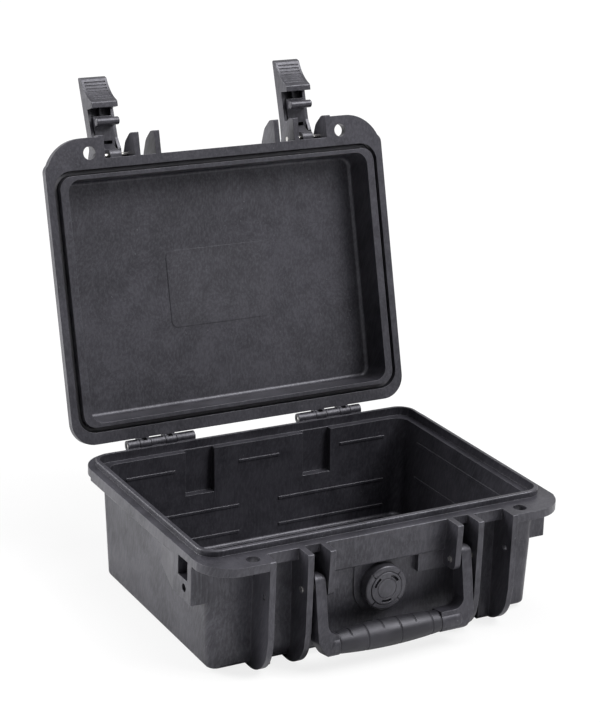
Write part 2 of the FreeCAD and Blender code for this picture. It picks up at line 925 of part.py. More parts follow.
def lever_blank(x0, x1):
    """Lever from the side: back, rounded tip, hollow pad and cheeks."""
    points = [
        on_latch(-lever_heel, lever_back),
        on_latch(lever_bend, lever_back),
        on_latch(lever_tip, lever_tip_up, lever_tip_round),
    ]
    points.extend(pad_hollow())
    points.extend([
        on_latch(pad_lip, pad_lip_up),
        on_latch(pad_lip, cheek_far_up),
        on_latch(lever_bend, cheek_bend_up),
        on_latch(lever_bend - cheek_slope, cheek_up),
        on_latch(-lever_heel, cheek_up),
    ])
    return side_plate(points, x0, x1)


def lever_hollow(x0, x1):
    """Channel between the cheeks and the hollow behind the finger pad."""
    low = -lobe_r - through
    under = lever_back - lever_floor
    far = lever_tip_up - lever_back
    channel = side_plate([
        on_latch(-lever_heel - through, low),
        on_latch(-lever_heel - through, under),
        on_latch(lever_bend, under),
        on_latch(pad_lip, under + far * 0.4),
        on_latch(pad_lip, low),
    ], x0, x1)
    behind = side_plate([
        on_latch(pad_lip - overlap, pad_lip_up + pad_wall * 2.2),
        on_latch(pad_lip - overlap, under + far * 0.4),
        on_latch(pad_bend + pad_wall * 0.6, under + far * 0.5),
        on_latch(pad_bend - pad_wall * 0.4, pad_bend_up + lever_floor * 0.6),
        on_latch(pad_lip + pad_lip_thick - pad_wall * 0.4, pad_lip_up + pad_wall * 2.2),
    ], x0, x1)
    return channel.fuse(behind)


def lever_lobe(mid):
    """Boss of the lever around its own pivot and the hook pin."""
    pin_y, pin_z = hook_pivot()
    return side_plate([
        on_latch(lobe_root, lever_back - overlap),
        on_latch(lobe_root, cheek_up + lobe_round, lobe_round),
        on_latch(lobe_r, lobe_r * 0.65, lobe_wall),
        on_latch(lobe_r, -lobe_r, lobe_r * 0.92),
        on_latch(-lobe_r, -lobe_r, lobe_r * 0.92),
        (pin_y + lobe_wall, pin_z - lobe_wall, lobe_round),
        (pin_y + lobe_wall, pin_z + lobe_wall * 1.5, lobe_round),
        on_latch(overlap - lever_heel, lever_back - overlap),
    ], mid - lobe_half, mid + lobe_half)


def lever(side):
    mid = side * station_mid
    x0 = mid - lever_half
    x1 = mid + lever_half
    blank = lever_blank(x0, x1).cut(lever_hollow(x0 + cheek_thick, x1 - cheek_thick))
    plate_top = hook_plate_up + hook_plate_thick
    spine = side_plate([
        on_latch(pad_lip + spine_gap, lever_back - overlap),
        on_latch(pad_lip + spine_gap, plate_top + spine_gap),
        on_latch(hook_plate_reach + spine_gap, plate_top + spine_gap),
        on_latch(hook_plate_reach - lobe_wall, lever_back - overlap),
    ], mid - spine_half, mid + spine_half)
    shape = joined([blank, lever_lobe(mid), spine])
    pin_y, pin_z = hook_pivot()
    cuts = pad_rods(x0, x1)
    cuts.append(rod(x0 - through, x1 + through, -pivot_y, pivot_z, pivot_pin_r + pin_gap))
    cuts.append(rod(x0 - through, x1 + through, pin_y, pin_z, hook_pin_r + hinge_pin_gap))
    return stood(shape.cut(joined_tool(cuts)), side)


def hook(side):
    """Catch hook: two arms, a plate across them, two struts and the catch bar."""
    mid = side * station_mid
    pin_y, pin_z = hook_pivot()
    bar_y, bar_z = hook_bar_place()
    near = -pivot_y - lever_bend
    low = pivot_z + hook_plate_up
    high = low + hook_plate_thick
    arm = [
        (pin_y - hook_leg, pin_z - hook_lobe_r, hook_leg * 0.9),
        (pin_y + hook_leg, pin_z - hook_lobe_r, hook_leg * 0.9),
        (pin_y + hook_leg, high, hook_plate_thick),
        (near, high, 0),
        (near, low, 0),
        (pin_y - hook_leg, low, hook_lap),
    ]
    strut = [
        (bar_y - hook_strut_thin, bar_z, 0),
        (bar_y + hook_strut_thin, bar_z, 0),
        (bar_y + hook_strut_wide, high - hook_plate_thick * 0.2, 0),
        (bar_y - hook_strut_wide, high - hook_plate_thick * 0.2, 0),
    ]
    parts = []
    for turn in (-1, 1):
        ends = sorted((turn * hook_arm_inner, turn * hook_arm_outer))
        parts.append(side_plate(arm, mid + ends[0], mid + ends[1]))
        ends = sorted((turn * (hook_arm_outer - hook_strut), turn * hook_arm_outer))
        parts.append(side_plate(strut, mid + ends[0], mid + ends[1]))
    parts.append(box(mid - hook_arm_outer, mid + hook_arm_outer, -pivot_y - hook_plate_reach,
                     near + hook_lap, low, high))
    bar = rod(mid - hook_half, mid + hook_half, bar_y, bar_z, hook_bar_r)
    rims = [edge for edge in bar.Edges if isinstance(edge.Curve, Part.Circle)]
    parts.append(bar.makeFillet(hook_bar_round, rims))
    bore = rod(mid - hook_half, mid + hook_half, pin_y, pin_z, hook_pin_r + pin_gap)
    return stood(joined(parts).cut(bore), side)


def hook_pin(side):
    mid = side * station_mid
    pin_y, pin_z = hook_pivot()
    return stood(rod(mid - hook_arm_outer, mid + hook_arm_outer, pin_y, pin_z, hook_pin_r), side)


def latch_pin(side):
    mid = side * station_mid
    half = station_width / 2.0 + rib_thick
    return opened(rod(mid - half, mid + half, -pivot_y, pivot_z, pivot_pin_r))


def hinge_pin(side):
    pin = rod(knuckle_in + hinge_pin_short, knuckle_out - hinge_pin_short, hinge_y, hinge_z, hinge_pin_r)
    return pin if side > 0 else mirrored(pin)


def handle_pin(side):
    x0 = rib_short_x - handle_pin_proud
    x1 = rib_inner_x + rib_thick + handle_pin_proud
    pin = rod(x0, x1, -handle_y, handle_z, handle_pin_r)
    return pin if side > 0 else mirrored(pin)


def leaned(shape):
    """Swings the hanging handle forward to its rest lean."""
    return turned_about(shape, -handle_y, handle_z, -grip_lean)


def round_eye(low, high):
    """Rounded envelope of the arms seen from the side."""
    half = handle_depth / 2.0
    return side_plate([
        (-handle_y - half, high, half * 0.94),
        (-handle_y + half, high, half * 0.94),
        (-handle_y + half, low, half * 0.65),
        (-handle_y - half, low, half * 0.65),
    ], -handle_arm_out - through, handle_arm_out + through)


def handle_frame():
    """Two arms with cut-back corners, joined by a round core under the sleeve."""
    axis_z = handle_z - handle_drop
    low = axis_z - grip_end_r
    inner = axis_z + grip_end_r
    high = handle_z + handle_eye
    right = [
        (handle_arm_out - handle_cut_x, low, handle_outer_round),
        (handle_arm_out, low + handle_cut_z, handle_outer_round),
        (handle_arm_out, high, handle_eye_round),
        (handle_arm_in, high, handle_eye_round),
        (handle_arm_in, inner, handle_inner_round),
    ]
    left = [(-x, z, radius) for x, z, radius in reversed(right)]
    half = handle_depth / 2.0
    frame = front_plate(right + left, -handle_y - half, -handle_y + half)
    frame = frame.common(round_eye(low, high))
    start = grip_mid - grip_half
    stop = grip_mid + grip_half
    gap = box(start, stop, -handle_y - handle_depth, -handle_y + handle_depth, low - through, inner + through)
    knobs = []
    for x, side, lead in ((start, -1, grip_lead_left), (stop, 1, grip_lead_right)):
        length = lead - knob_short
        knob = Part.makeCylinder(grip_end_r, length, vec(x, -handle_y, axis_z), vec(side, 0, 0))
        outer = edges_at(knob, lambda p: abs(p.x - x) > length * 0.75)
        knobs.append(knob.makeFillet(knob_round, outer))
    core = rod(start - core_lap, stop + core_lap, -handle_y, axis_z, core_r)
    frame = joined([frame.cut(gap), core] + knobs)
    bore = rod(handle_arm_in - through, handle_arm_out + through, -handle_y, handle_z, handle_pin_r + pin_gap)
    return leaned(frame.cut(joined_tool(both_sides(bore))))


def handle_grip():
    """Spindle-shaped sleeve, thickest in the middle, with shallow rings."""
    z = handle_z - handle_drop
    y = -handle_y
    start = grip_mid - grip_half
    stop = grip_mid + grip_half
    ends = [
        vec(start, y, z + core_r),
        vec(start, y, z + grip_end_r),
        vec(stop, y, z + grip_end_r),
        vec(stop, y, z + core_r),
    ]
    profile = [
        Part.makeLine(ends[0], ends[1]),
        Part.Arc(ends[1], vec(grip_mid, y, z + grip_r), ends[2]).toShape(),
        Part.makeLine(ends[2], ends[3]),
        Part.makeLine(ends[3], ends[0]),
    ]
    grip = Part.Face(Part.Wire(profile)).revolve(vec(0, y, z), vec(1, 0, 0), 360)
    sag = grip_r - grip_end_r
    rings = []
    first = start + grip_ring_lead_left
    last = stop - grip_ring_lead_right
    for index in range(grip_rings):
        x = first + (last - first) * index / (grip_rings - 1)
        bottom = grip_r - sag * ((x - grip_mid) / grip_half) ** 2 - grip_groove
        outer = rod(x - grip_groove_half, x + grip_groove_half, y, z, grip_r + through)
        rings.append(outer.cut(rod(x - through, x + through, y, z, bottom)))
    return leaned(grip.cut(joined_tool(rings)))


def valve_body():
    """Round housing on the plate, with a stem through the wall."""
    ring = disc(valve_r, valve_front, valve_plate_front)
    rim = edges_at(ring, lambda p: p.y < -valve_front + 0.01)
    ring = ring.makeFillet(valve_edge, [edge for edge in rim if isinstance(edge.Curve, Part.Circle)])
    stem = disc(valve_stem_r, valve_plate_front, valve_stem_end)
    body = joined([ring, stem])
    seat = disc(seal_ring_r + seal_r, valve_plate_front + seal_seat, valve_plate_front - through)
    post = disc(seal_ring_r - seal_r, valve_plate_front + seal_seat + through, valve_plate_front - through * 2)
    cuts = [
        disc(valve_cap_r, valve_front + through, valve_cap_back),
        disc(valve_bore_r, valve_front + through, valve_stem_end - through),
        seat.cut(post),
    ]
    for turn in range(45, 360, 90):
        notch = box(valve_cap_r - overlap, valve_r + through, -valve_front - through,
                    -valve_front + valve_notch_deep, valve_z - valve_notch / 2, valve_z + valve_notch / 2)
        notch.rotate(vec(0, 0, valve_z), vec(0, 1, 0), turn)
        cuts.append(notch)
    return body.cut(joined_tool(cuts))


def slot_wedge(turn):
    """Slice of the cap's face that one curved slot fills."""
    half = math.radians(valve_slot_span / 2.0)
    mid = math.radians(turn)
    far = valve_cap_r * 2.0
    corners = [(0, valve_z, 0)]
    for angle in (mid - half, mid + half):
        corners.append((far * math.cos(angle), valve_z + far * math.sin(angle), 0))
    return front_plate(corners, -valve_front - through * 2, -valve_cap_back + through * 2)


def valve_cap():
    """Inner disc with a ring line and three curved slots."""
    face = valve_front + valve_cap_rise
    cap = disc(valve_cap_r - valve_cap_gap, face, valve_cap_back)
    rim = edges_at(cap, lambda p: p.y < -valve_front)
    cap = cap.makeFillet(valve_cap_edge, [edge for edge in rim if isinstance(edge.Curve, Part.Circle)])
    ring = disc(valve_face_r + valve_face_line, face + through, face - valve_face_deep)
    cuts = [ring.cut(disc(valve_face_r - valve_face_line, face + through * 2, valve_cap_back))]
    for turn in (50, 145, 270):
        arc = disc(valve_slot_out, face + through, valve_cap_back - through)
        arc = arc.cut(disc(valve_slot_in, face + through * 2, valve_cap_back - through * 2))
        cuts.append(arc.common(slot_wedge(turn)))
    return cap.cut(joined_tool(cuts))


def valve_seal():
    centre = vec(0, -valve_plate_front - seal_tube, valve_z)
    return Part.makeTorus(seal_ring_r, seal_tube, centre, vec(0, 1, 0))


def valve_membrane():
    front = valve_cap_back - membrane_gap
    return disc(membrane_r, front, front - membrane_thick)


nodes = {
    "lower_shell": lower_shell,
    "lid_shell": lid_shell,
    "lid_gasket": lid_gasket,
    "handle_frame": handle_frame,
    "handle_grip": handle_grip,
    "valve_body": valve_body,
    "valve_cap": valve_cap,
    "valve_seal": valve_seal,
    "valve_membrane": valve_membrane,
}
paired = {
    "hinge_pin": hinge_pin,
    "latch_lever": lever,
    "latch_hook": hook,
    "latch_pin": latch_pin,
    "hook_pin": hook_pin,
    "handle_pin": handle_pin,
}

shapes = {name: build() for name, build in nodes.items()}
for name, build in paired.items():
    shapes[name + "_left"] = build(-1)
    shapes[name + "_right"] = build(1)
for name, shape in shapes.items():
    shape.exportStep("parts/" + name + ".step")
    print(name, round(shape.Volume, 1), len(shape.Solids), shape.isValid())
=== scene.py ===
"""Looks of the open waterproof hard case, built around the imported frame.

The moulded shells, latches, handle core and valve keep their own solids and get
finishes. The soft grip and the lid's gasket are new surfaces worked out on grids.
Lengths are metres in the frame's own axes: +X right, -Y front, +Z up.
"""

import json
import logging
import math
from dataclasses import dataclass
from enum import Enum

import bpy
import numpy as np
from mathutils import Matrix, Vector


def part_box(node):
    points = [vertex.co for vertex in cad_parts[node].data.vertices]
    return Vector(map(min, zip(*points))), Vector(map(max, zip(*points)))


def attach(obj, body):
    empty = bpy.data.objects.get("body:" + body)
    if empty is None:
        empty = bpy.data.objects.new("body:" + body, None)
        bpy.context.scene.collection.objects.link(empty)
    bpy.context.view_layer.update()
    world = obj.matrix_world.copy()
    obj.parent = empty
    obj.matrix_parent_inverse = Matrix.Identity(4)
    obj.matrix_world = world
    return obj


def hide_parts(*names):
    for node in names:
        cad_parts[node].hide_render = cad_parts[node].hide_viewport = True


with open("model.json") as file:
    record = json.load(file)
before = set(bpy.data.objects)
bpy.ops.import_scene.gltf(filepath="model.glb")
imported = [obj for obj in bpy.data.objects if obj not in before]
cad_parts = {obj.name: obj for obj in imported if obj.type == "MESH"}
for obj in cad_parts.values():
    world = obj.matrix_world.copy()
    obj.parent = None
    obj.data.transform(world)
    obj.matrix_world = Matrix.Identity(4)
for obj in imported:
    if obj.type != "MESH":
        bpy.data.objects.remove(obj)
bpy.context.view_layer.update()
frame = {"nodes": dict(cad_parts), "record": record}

LOG = logging.getLogger("hard_case")
MM = 0.001
FULL_TURN = 2.0 * math.pi
QUARTER_TURN = 0.5 * math.pi
WHITE = (1.0, 1.0, 1.0, 1.0)
SHEEN_TINT = (0.92, 0.91, 1.0, 1.0)

Socket = bpy.types.NodeSocket
Triple = tuple[float, float, float]
Span = tuple[float, float]


class Slot(Enum):
    """Material slots of the record."""

    SHELL = "shell"
    LATCH = "latch"
    HANDLE = "handle"
    VALVE = "valve"
    GRIP = "grip"
    GASKET = "gasket"
    PIN = "pin"
    MEMBRANE = "membrane"


@dataclass(frozen=True)
class Layers:
    """Finer layers of a noise: how many there are, and how much each one weighs."""

    detail: float
    weight: float


def turn_about_x(points: np.ndarray, angle: float) -> np.ndarray:
    """Turns points about the X axis.

    Args:
        points: Array whose last axis holds X, Y and Z.
        angle: Angle in radians, from Y towards Z.

    Returns:
        The turned points.
    """
    cosine, sine = math.cos(angle), math.sin(angle)
    x, y, z = points[..., 0], points[..., 1], points[..., 2]
    return np.stack((x, y * cosine - z * sine, y * sine + z * cosine), axis=-1)


def grid_piece(name: str, points: np.ndarray, ring_u: bool, ring_v: bool) -> bpy.types.Object:
    """Makes a piece from a grid of points.

    Args:
        name: The piece's name.
        points: Array of shape (u, v, 3) in metres.
        ring_u: True if the last row joins the first.
        ring_v: True if the last column joins the first.

    Returns:
        The piece, at the origin, with smooth faces that point outwards.
    """
    rows, columns = points.shape[:2]
    u = np.arange(rows if ring_u else rows - 1)
    v = np.arange(columns if ring_v else columns - 1)
    u, v = np.meshgrid(u, v, indexing="ij")
    next_u, next_v = (u + 1) % rows, (v + 1) % columns
    corners = (u * columns + v, next_u * columns + v,
               next_u * columns + next_v, u * columns + next_v)
    faces = np.stack(corners, axis=-1).reshape(-1, 4)
    mesh = bpy.data.meshes.new(name)
    mesh.from_pydata(points.reshape(-1, 3).tolist(), [], faces.tolist())
    mesh.update()
    mesh.polygons.foreach_set("use_smooth", np.ones(len(mesh.polygons), dtype=bool))
    piece = bpy.data.objects.new(name, mesh)
    bpy.context.scene.collection.objects.link(piece)
    return piece


@dataclass(frozen=True)
class LidHinge:
    """Axis of the lid's hinge, along X, and the turn about it that shuts the lid."""

    pivot: np.ndarray
    degrees: float

    @classmethod
    def of_frame(cls) -> "LidHinge":
        """Reads the hinge from the frame's record.

        Returns:
            The hinge.
        """
        joints = frame["record"]["behaviour"]["joints"]
        joint = next(row for row in joints if row["name"] == "lid_hinge")
        return cls(np.array(joint["pos_m"]), joint["range_deg"][1])

    def shut(self, points: np.ndarray) -> np.ndarray:
        """Moves places on the open lid to where they lie with the lid shut."""
        return turn_about_x(points - self.pivot, math.radians(self.degrees)) + self.pivot

    def opened(self, points: np.ndarray) -> np.ndarray:
        """Moves places on the shut lid to where they lie with the lid open."""
        return turn_about_x(points - self.pivot, -math.radians(self.degrees)) + self.pivot


class NodeBench:
    """Lays out the nodes of one material with short calls.

    The fields hold the wander's blobs per metre and its layers, the span over
    which a patch fades, the span of the cosine between the rounded and the plain
    normal at an edge, and the number of samples that round an edge.
    """

    wander_scale: float = 22.0
    wander_layers: Layers = Layers(1.0, 0.5)
    patch_fade: Span = (0.85, 1.15)
    edge_turn: Span = (0.86, 0.99)
    edge_samples: int = 6

    def __init__(self, name: str) -> None:
        """Starts an empty material.

        Args:
            name: The material's name.
        """
        self.material = bpy.data.materials.new(name)
        self.material.use_nodes = True
        self.tree = self.material.node_tree
        self.shader = self.tree.nodes["Principled BSDF"]

    def add(self, kind: str, **settings: object) -> bpy.types.Node:
        """Adds a node and sets its plain properties.

        Args:
            kind: Blender's name of the node type.
            **settings: Properties of the node by name.

        Returns:
            The new node.
        """
        node = self.tree.nodes.new(kind)
        for key, value in settings.items():
            setattr(node, key, value)
        return node

    def join(self, source: Socket, target: Socket) -> None:
        """Links an output to an input."""
        self.tree.links.new(source, target)

    def shade(self, source: Socket, name: str) -> None:
        """Links an output to the named input of the material's shader."""
        self.join(source, self.shader.inputs[name])

    def place(self, turn: Triple = (0.0, 0.0, 0.0), stretch: Triple = (1.0, 1.0, 1.0),
              centre: Triple = (0.0, 0.0, 0.0), bend: float = 0.0) -> Socket:
        """Object coordinates, moved, turned and stretched.

        Args:
            turn: Rotation about X, Y and Z in degrees.
            stretch: Factor along each axis after the turn.
            centre: The place that becomes the origin, in metres.
            bend: Reach of a slow wander of the coordinates, in metres.

        Returns:
            The vector output to feed a texture with.
        """
        source = self.add("ShaderNodeTexCoord").outputs["Object"]
        if bend > 0.0:
            source = self.wander(source, bend)
        mapping = self.add("ShaderNodeMapping", vector_type="TEXTURE")
        mapping.inputs["Location"].default_value = centre
        mapping.inputs["Rotation"].default_value = [math.radians(angle) for angle in turn]
        mapping.inputs["Scale"].default_value = stretch
        self.join(source, mapping.inputs["Vector"])
        return mapping.outputs["Vector"]

    def texture(self, vector: Socket, scale: float, layers: Layers) -> bpy.types.Node:
        """Adds a noise texture.

        Args:
            vector: Coordinates in metres.
            scale: Number of blobs per metre.
            layers: The finer layers.

        Returns:
            The texture's node.
        """
        node = self.add("ShaderNodeTexNoise")
        node.inputs["Scale"].default_value = scale
        node.inputs["Detail"].default_value = layers.detail
        node.inputs["Roughness"].default_value = layers.weight
        self.join(vector, node.inputs["Vector"])
        return node

    def noise(self, vector: Socket, size: float, layers: Layers) -> Socket:
        """Noise whose blobs are about size metres wide.

        Args:
            vector: Coordinates in metres.
            size: Width of the largest blobs in metres.
            layers: The finer layers.

        Returns:
            The noise value, about 0 to 1.
        """
        return self.texture(vector, 1.0 / size, layers).outputs["Fac"]

    def wander(self, vector: Socket, reach: float) -> Socket:
        """Coordinates that drift slowly, so that straight strokes come out curved.

        Args:
            vector: Coordinates in metres.
            reach: How far they drift, in metres.

        Returns:
            The drifting coordinates.
        """
        texture = self.texture(vector, self.wander_scale, self.wander_layers)
        drift = self.add("ShaderNodeVectorMath", operation="MULTIPLY_ADD")
        drift.inputs[1].default_value = (reach, reach, reach)
        self.join(texture.outputs["Color"], drift.inputs[0])
        self.join(vector, drift.inputs[2])
        return drift.outputs["Vector"]

    def remap(self, value: Socket, source: Span, target: Span = (0.0, 1.0)) -> Socket:
        """Maps one range of values onto another, clamped at both ends.

        Args:
            value: The value to map.
            source: Start and end of the range that it comes from.
            target: What start and end become.

        Returns:
            The mapped value.
        """
        node = self.add("ShaderNodeMapRange")
        names = ("From Min", "From Max", "To Min", "To Max")
        for name, number in zip(names, (*source, *target)):
            node.inputs[name].default_value = number
        self.join(value, node.inputs["Value"])
        return node.outputs["Result"]

    def maths(self, operation: str, first: Socket, second: Socket | float) -> Socket:
        """Joins two values by one operation.

        Args:
            operation: Blender's name of the operation.
            first: The first value.
            second: The second value, a socket or a number.

        Returns:
            The result.
        """
        node = self.add("ShaderNodeMath", operation=operation)
        self.join(first, node.inputs[0])
        if isinstance(second, Socket):
            self.join(second, node.inputs[1])
        else:
            node.inputs[1].default_value = second
        return node.outputs["Value"]

    def mix(self, data_type: str, share: Socket) -> tuple[Socket, Socket, Socket]:
        """Adds a mix of two colours or two vectors.

        Args:
            data_type: Blender's name of the type, RGBA or VECTOR.
            share: The mixing value.

        Returns:
            The input at 0, the input at 1 and the result.
        """
        node = self.add("ShaderNodeMix", data_type=data_type)
        self.join(share, node.inputs["Factor"])
        first, second = (socket for socket in node.inputs
                         if socket.type == data_type and socket.name in ("A", "B"))
        result = next(socket for socket in node.outputs if socket.type == data_type)
        return first, second, result

    def tint(self, base: Socket | Triple, other: Triple, share: Socket) -> Socket:
        """Mixes a second colour over a first one.

        Args:
            base: Colour at 0, as a socket or as a constant.
            other: Colour at 1.
            share: The mixing value.

        Returns:
            The mixed colour.
        """
        first, second, result = self.mix("RGBA", share)
        if isinstance(base, Socket):
            self.join(base, first)
        else:
            first.default_value = (*base, 1.0)
        second.default_value = (*other, 1.0)
        return result

    def patch(self, centre: Triple, turn: float, half: Triple) -> Socket:
        """Soft-edged block: 1 well inside, 0 outside.

        Args:
            centre: Middle of the block in metres.
            turn: Its turn about X in degrees.
            half: Half of its width, depth and height in metres.

        Returns:
            The value.
        """
        reach = self.add("ShaderNodeVectorMath", operation="ABSOLUTE")
        self.join(self.place((turn, 0.0, 0.0), half, centre), reach.inputs[0])
        parts = self.add("ShaderNodeSeparateXYZ")
        self.join(reach.outputs["Vector"], parts.inputs["Vector"])
        across, along, up = (self.remap(parts.outputs[axis], self.patch_fade, (1.0, 0.0))
                             for axis in ("X", "Y", "Z"))
        return self.maths("MULTIPLY", self.maths("MULTIPLY", across, along), up)

    def rounded(self, radius: float) -> Socket:
        """Normal that rounds sharp edges.

        Args:
            radius: How far the rounding reaches, in metres.

        Returns:
            The rounded normal.
        """
        node = self.add("ShaderNodeBevel", samples=self.edge_samples)
        node.inputs["Radius"].default_value = radius
        return node.outputs["Normal"]

    def turned_away(self, rounded: Socket) -> Socket:
        """How far a rounded normal leaves the plain one: 0 on faces, 1 on sharp edges.

        Args:
            rounded: The rounded normal.

        Returns:
            The value.
        """
        plain = self.add("ShaderNodeNewGeometry")
        node = self.add("ShaderNodeVectorMath", operation="DOT_PRODUCT")
        self.join(rounded, node.inputs[0])
        self.join(plain.outputs["Normal"], node.inputs[1])
        return self.remap(node.outputs["Value"], self.edge_turn, (1.0, 0.0))

    def levelled(self, normal: Socket, turn: float, share: Socket) -> Socket:
        """Draws a normal towards the one of a flat ceiling that is turned about X.

        Args:
            normal: The normal so far.
            turn: The ceiling's turn about X in degrees.
            share: How far the normal is drawn, 0 to 1.

        Returns:
            The new normal.
        """
        angle = math.radians(turn)
        level = self.add("ShaderNodeVectorTransform", vector_type="NORMAL",
                         convert_from="OBJECT", convert_to="WORLD")
        level.inputs["Vector"].default_value = (0.0, math.sin(angle), -math.cos(angle))
        first, second, result = self.mix("VECTOR", share)
        self.join(normal, first)
        self.join(level.outputs["Vector"], second)
        unit = self.add("ShaderNodeVectorMath", operation="NORMALIZE")
        self.join(result, unit.inputs[0])
        return unit.outputs["Vector"]

    def bump(self, height: Socket, depth: float, strength: float,
             under: Socket | None = None) -> Socket:
        """Turns a height value into a disturbed normal.

        Args:
            height: Height from 0 to 1.
            depth: Real depth of the relief in metres.
            strength: Share of the relief that shows.
            under: Normal that the relief sits on, if any.

        Returns:
            The new normal.
        """
        node = self.add("ShaderNodeBump")
        node.inputs["Distance"].default_value = depth
        node.inputs["Strength"].default_value = strength
        self.join(height, node.inputs["Height"])
        if under is not None:
            self.join(under, node.inputs["Normal"])
        return node.outputs["Normal"]


@dataclass(frozen=True)
class FaintPanel:
    """Raised panel on the lid's floor that hardly shows: calm edges, a faint painted highlight.

    Its middle is given for the shut lid, and reach is the factor by which the
    calm surround is larger than the patch of painted highlight.
    """

    shut_middle: Triple = (0.0, 0.0, 92.1 * MM)
    half: Triple = (35.0 * MM, 24.0 * MM, 2.0 * MM)
    reach: float = 1.5
    calm: float = 0.75
    # Strength of the painted highlight that makes the panel a little paler.
    share: float = 0.06

    def surround(self, bench: NodeBench, hinge: LidHinge) -> Socket:
        """Value that is 1 on the panel and round its edges, with the lid open."""
        return self.block(bench, hinge, tuple(side * self.reach for side in self.half))

    def middle(self, bench: NodeBench, hinge: LidHinge) -> Socket:
        """Value that is 1 on the panel itself, with the lid open."""
        return self.block(bench, hinge, self.half)

    def block(self, bench: NodeBench, hinge: LidHinge, half: Triple) -> Socket:
        """Soft-edged block round the panel's middle.

        Args:
            bench: The bench of the material.
            hinge: The lid's hinge.
            half: Half of the block's width, depth and height in metres.

        Returns:
            The value, 1 in the block and 0 outside.
        """
        centre = hinge.opened(np.array(self.shut_middle))
        return bench.patch(tuple(centre.tolist()), -hinge.degrees, half)


@dataclass(frozen=True)
class MouldedPlastic:
    """Dark moulded plastic: cloudy tone, brushed streaks, pale specks, painted edge highlights.

    Each noise has a span of values that shows, and a second span or a share says
    what that span becomes. The streak's length is a factor of its width.
    """

    name: str
    colour: Triple = (0.0125, 0.0121, 0.0155)
    pale: Triple = (0.035, 0.034, 0.041)
    # Pale colour of the dust specks and of the painted highlights.
    dust_and_highlight: Triple = (0.135, 0.133, 0.145)
    roughness: float = 0.40
    mottle: float = 14.0 * MM
    blotch_layers: Layers = Layers(5.0, 0.62)
    blotch_noise: Span = (0.38, 0.66)
    blotch_tone: Span = (0.0, 0.45)
    cloud_ratio: float = 4.0
    cloud_layers: Layers = Layers(3.0, 0.6)
    cloud_noise: Span = (0.41, 0.61)
    cloud_tone: Span = (-0.05, 0.52)
    polish_noise: Span = (0.35, 0.65)
    polish_change: Span = (0.04, -0.05)
    streak_width: float = 1.3 * MM
    streak_length: float = 8.0
    streak_turn: Triple = (18.0, 6.0, 0.0)
    streak_bend: float = 13.0 * MM
    streak_layers: Layers = Layers(4.0, 0.72)
    streak_noise: Span = (0.44, 0.68)
    streak_share: float = 0.42
    streak_depth: float = 0.05 * MM
    streak_relief: float = 0.5
    shine_noise: Span = (0.42, 0.62)
    shine: Span = (0.40, 0.60)
    speck_width: float = 1.7 * MM
    speck_layers: Layers = Layers(1.0, 0.5)
    speck_noise: Span = (0.76, 0.82)
    speck_share: float = 0.5
    edge: float = 0.4 * MM
    # Noise span, least and greatest share of the painted highlight on sharp edges.
    edge_highlight_noise: Span = (0.40, 0.58)
    edge_highlight_least: float = 0.25
    edge_highlight_share: float = 0.38
    panel: FaintPanel | None = None

    def material(self) -> bpy.types.Material:
        """Builds the finish.

        Returns:
            The material.
        """
        bench = NodeBench(self.name)
        plain = bench.place()
        along = bench.place(self.streak_turn, (1.0, 1.0, self.streak_length),
                            bend=self.streak_bend)
        cloud = bench.noise(plain, self.mottle * self.cloud_ratio, self.cloud_layers)
        blotch = bench.noise(plain, self.mottle, self.blotch_layers)
        streak = bench.noise(along, self.streak_width, self.streak_layers)
        speck = bench.noise(plain, self.speck_width, self.speck_layers)
        base = bench.tint(self.colour, self.pale, self.tone(bench, blotch, cloud, streak))
        normal = bench.rounded(self.edge)
        # Painted highlight: sharp edges are tinted paler, by a share that follows the blotch
        # noise.
        edge_highlight_strength = bench.remap(blotch, self.edge_highlight_noise, (self.edge_highlight_least, self.edge_highlight_share))
        painted_edge_highlight = bench.maths("MULTIPLY", bench.turned_away(normal), edge_highlight_strength)
        if self.panel is not None:
            hinge = LidHinge.of_frame()
            wide = self.panel.surround(bench, hinge)
            calm = bench.maths("MULTIPLY", wide, self.panel.calm)
            normal = bench.levelled(normal, -hinge.degrees, calm)
            # No painted edge highlight on the panel or round it.
            painted_edge_highlight = bench.maths("MULTIPLY", painted_edge_highlight, bench.remap(wide, (0.0, 1.0), (1.0, 0.0)))
            # Painted highlight: the panel itself is tinted a little paler.
            painted_panel_highlight = bench.maths("MULTIPLY", self.panel.middle(bench, hinge), self.panel.share)
            base = bench.tint(base, self.dust_and_highlight, painted_panel_highlight)
        # Pale tint from the dust specks plus the painted edge highlight.
        dust = bench.remap(speck, self.speck_noise, (0.0, self.speck_share))
        bench.shade(bench.tint(base, self.dust_and_highlight, bench.maths("ADD", painted_edge_highlight, dust)), "Base Color")
        roughest, smoothest = (self.roughness + change for change in self.polish_change)
        bench.shade(bench.remap(cloud, self.polish_noise, (roughest, smoothest)), "Roughness")
        bench.shade(bench.remap(streak, self.shine_noise, self.shine), "Specular IOR Level")
        bench.shade(bench.bump(streak, self.streak_depth, self.streak_relief, normal), "Normal")
        bench.shader.inputs["Specular Tint"].default_value = SHEEN_TINT
        return bench.material

    def tone(self, bench: NodeBench, blotch: Socket, cloud: Socket, streak: Socket) -> Socket:
        """Adds up how pale the plastic is at each place.

        Args:
            bench: The bench of the material.
            blotch: Noise of the small clouds.
            cloud: Noise of the large clouds.
            streak: Noise of the brushed streaks.

        Returns:
            The tone, 0 for the dark colour and 1 for the pale one.
        """
        small = bench.remap(blotch, self.blotch_noise, self.blotch_tone)
        large = bench.remap(cloud, self.cloud_noise, self.cloud_tone)
        brushed = bench.remap(streak, self.streak_noise, (0.0, self.streak_share))
        return bench.maths("ADD", bench.maths("ADD", small, large), brushed)


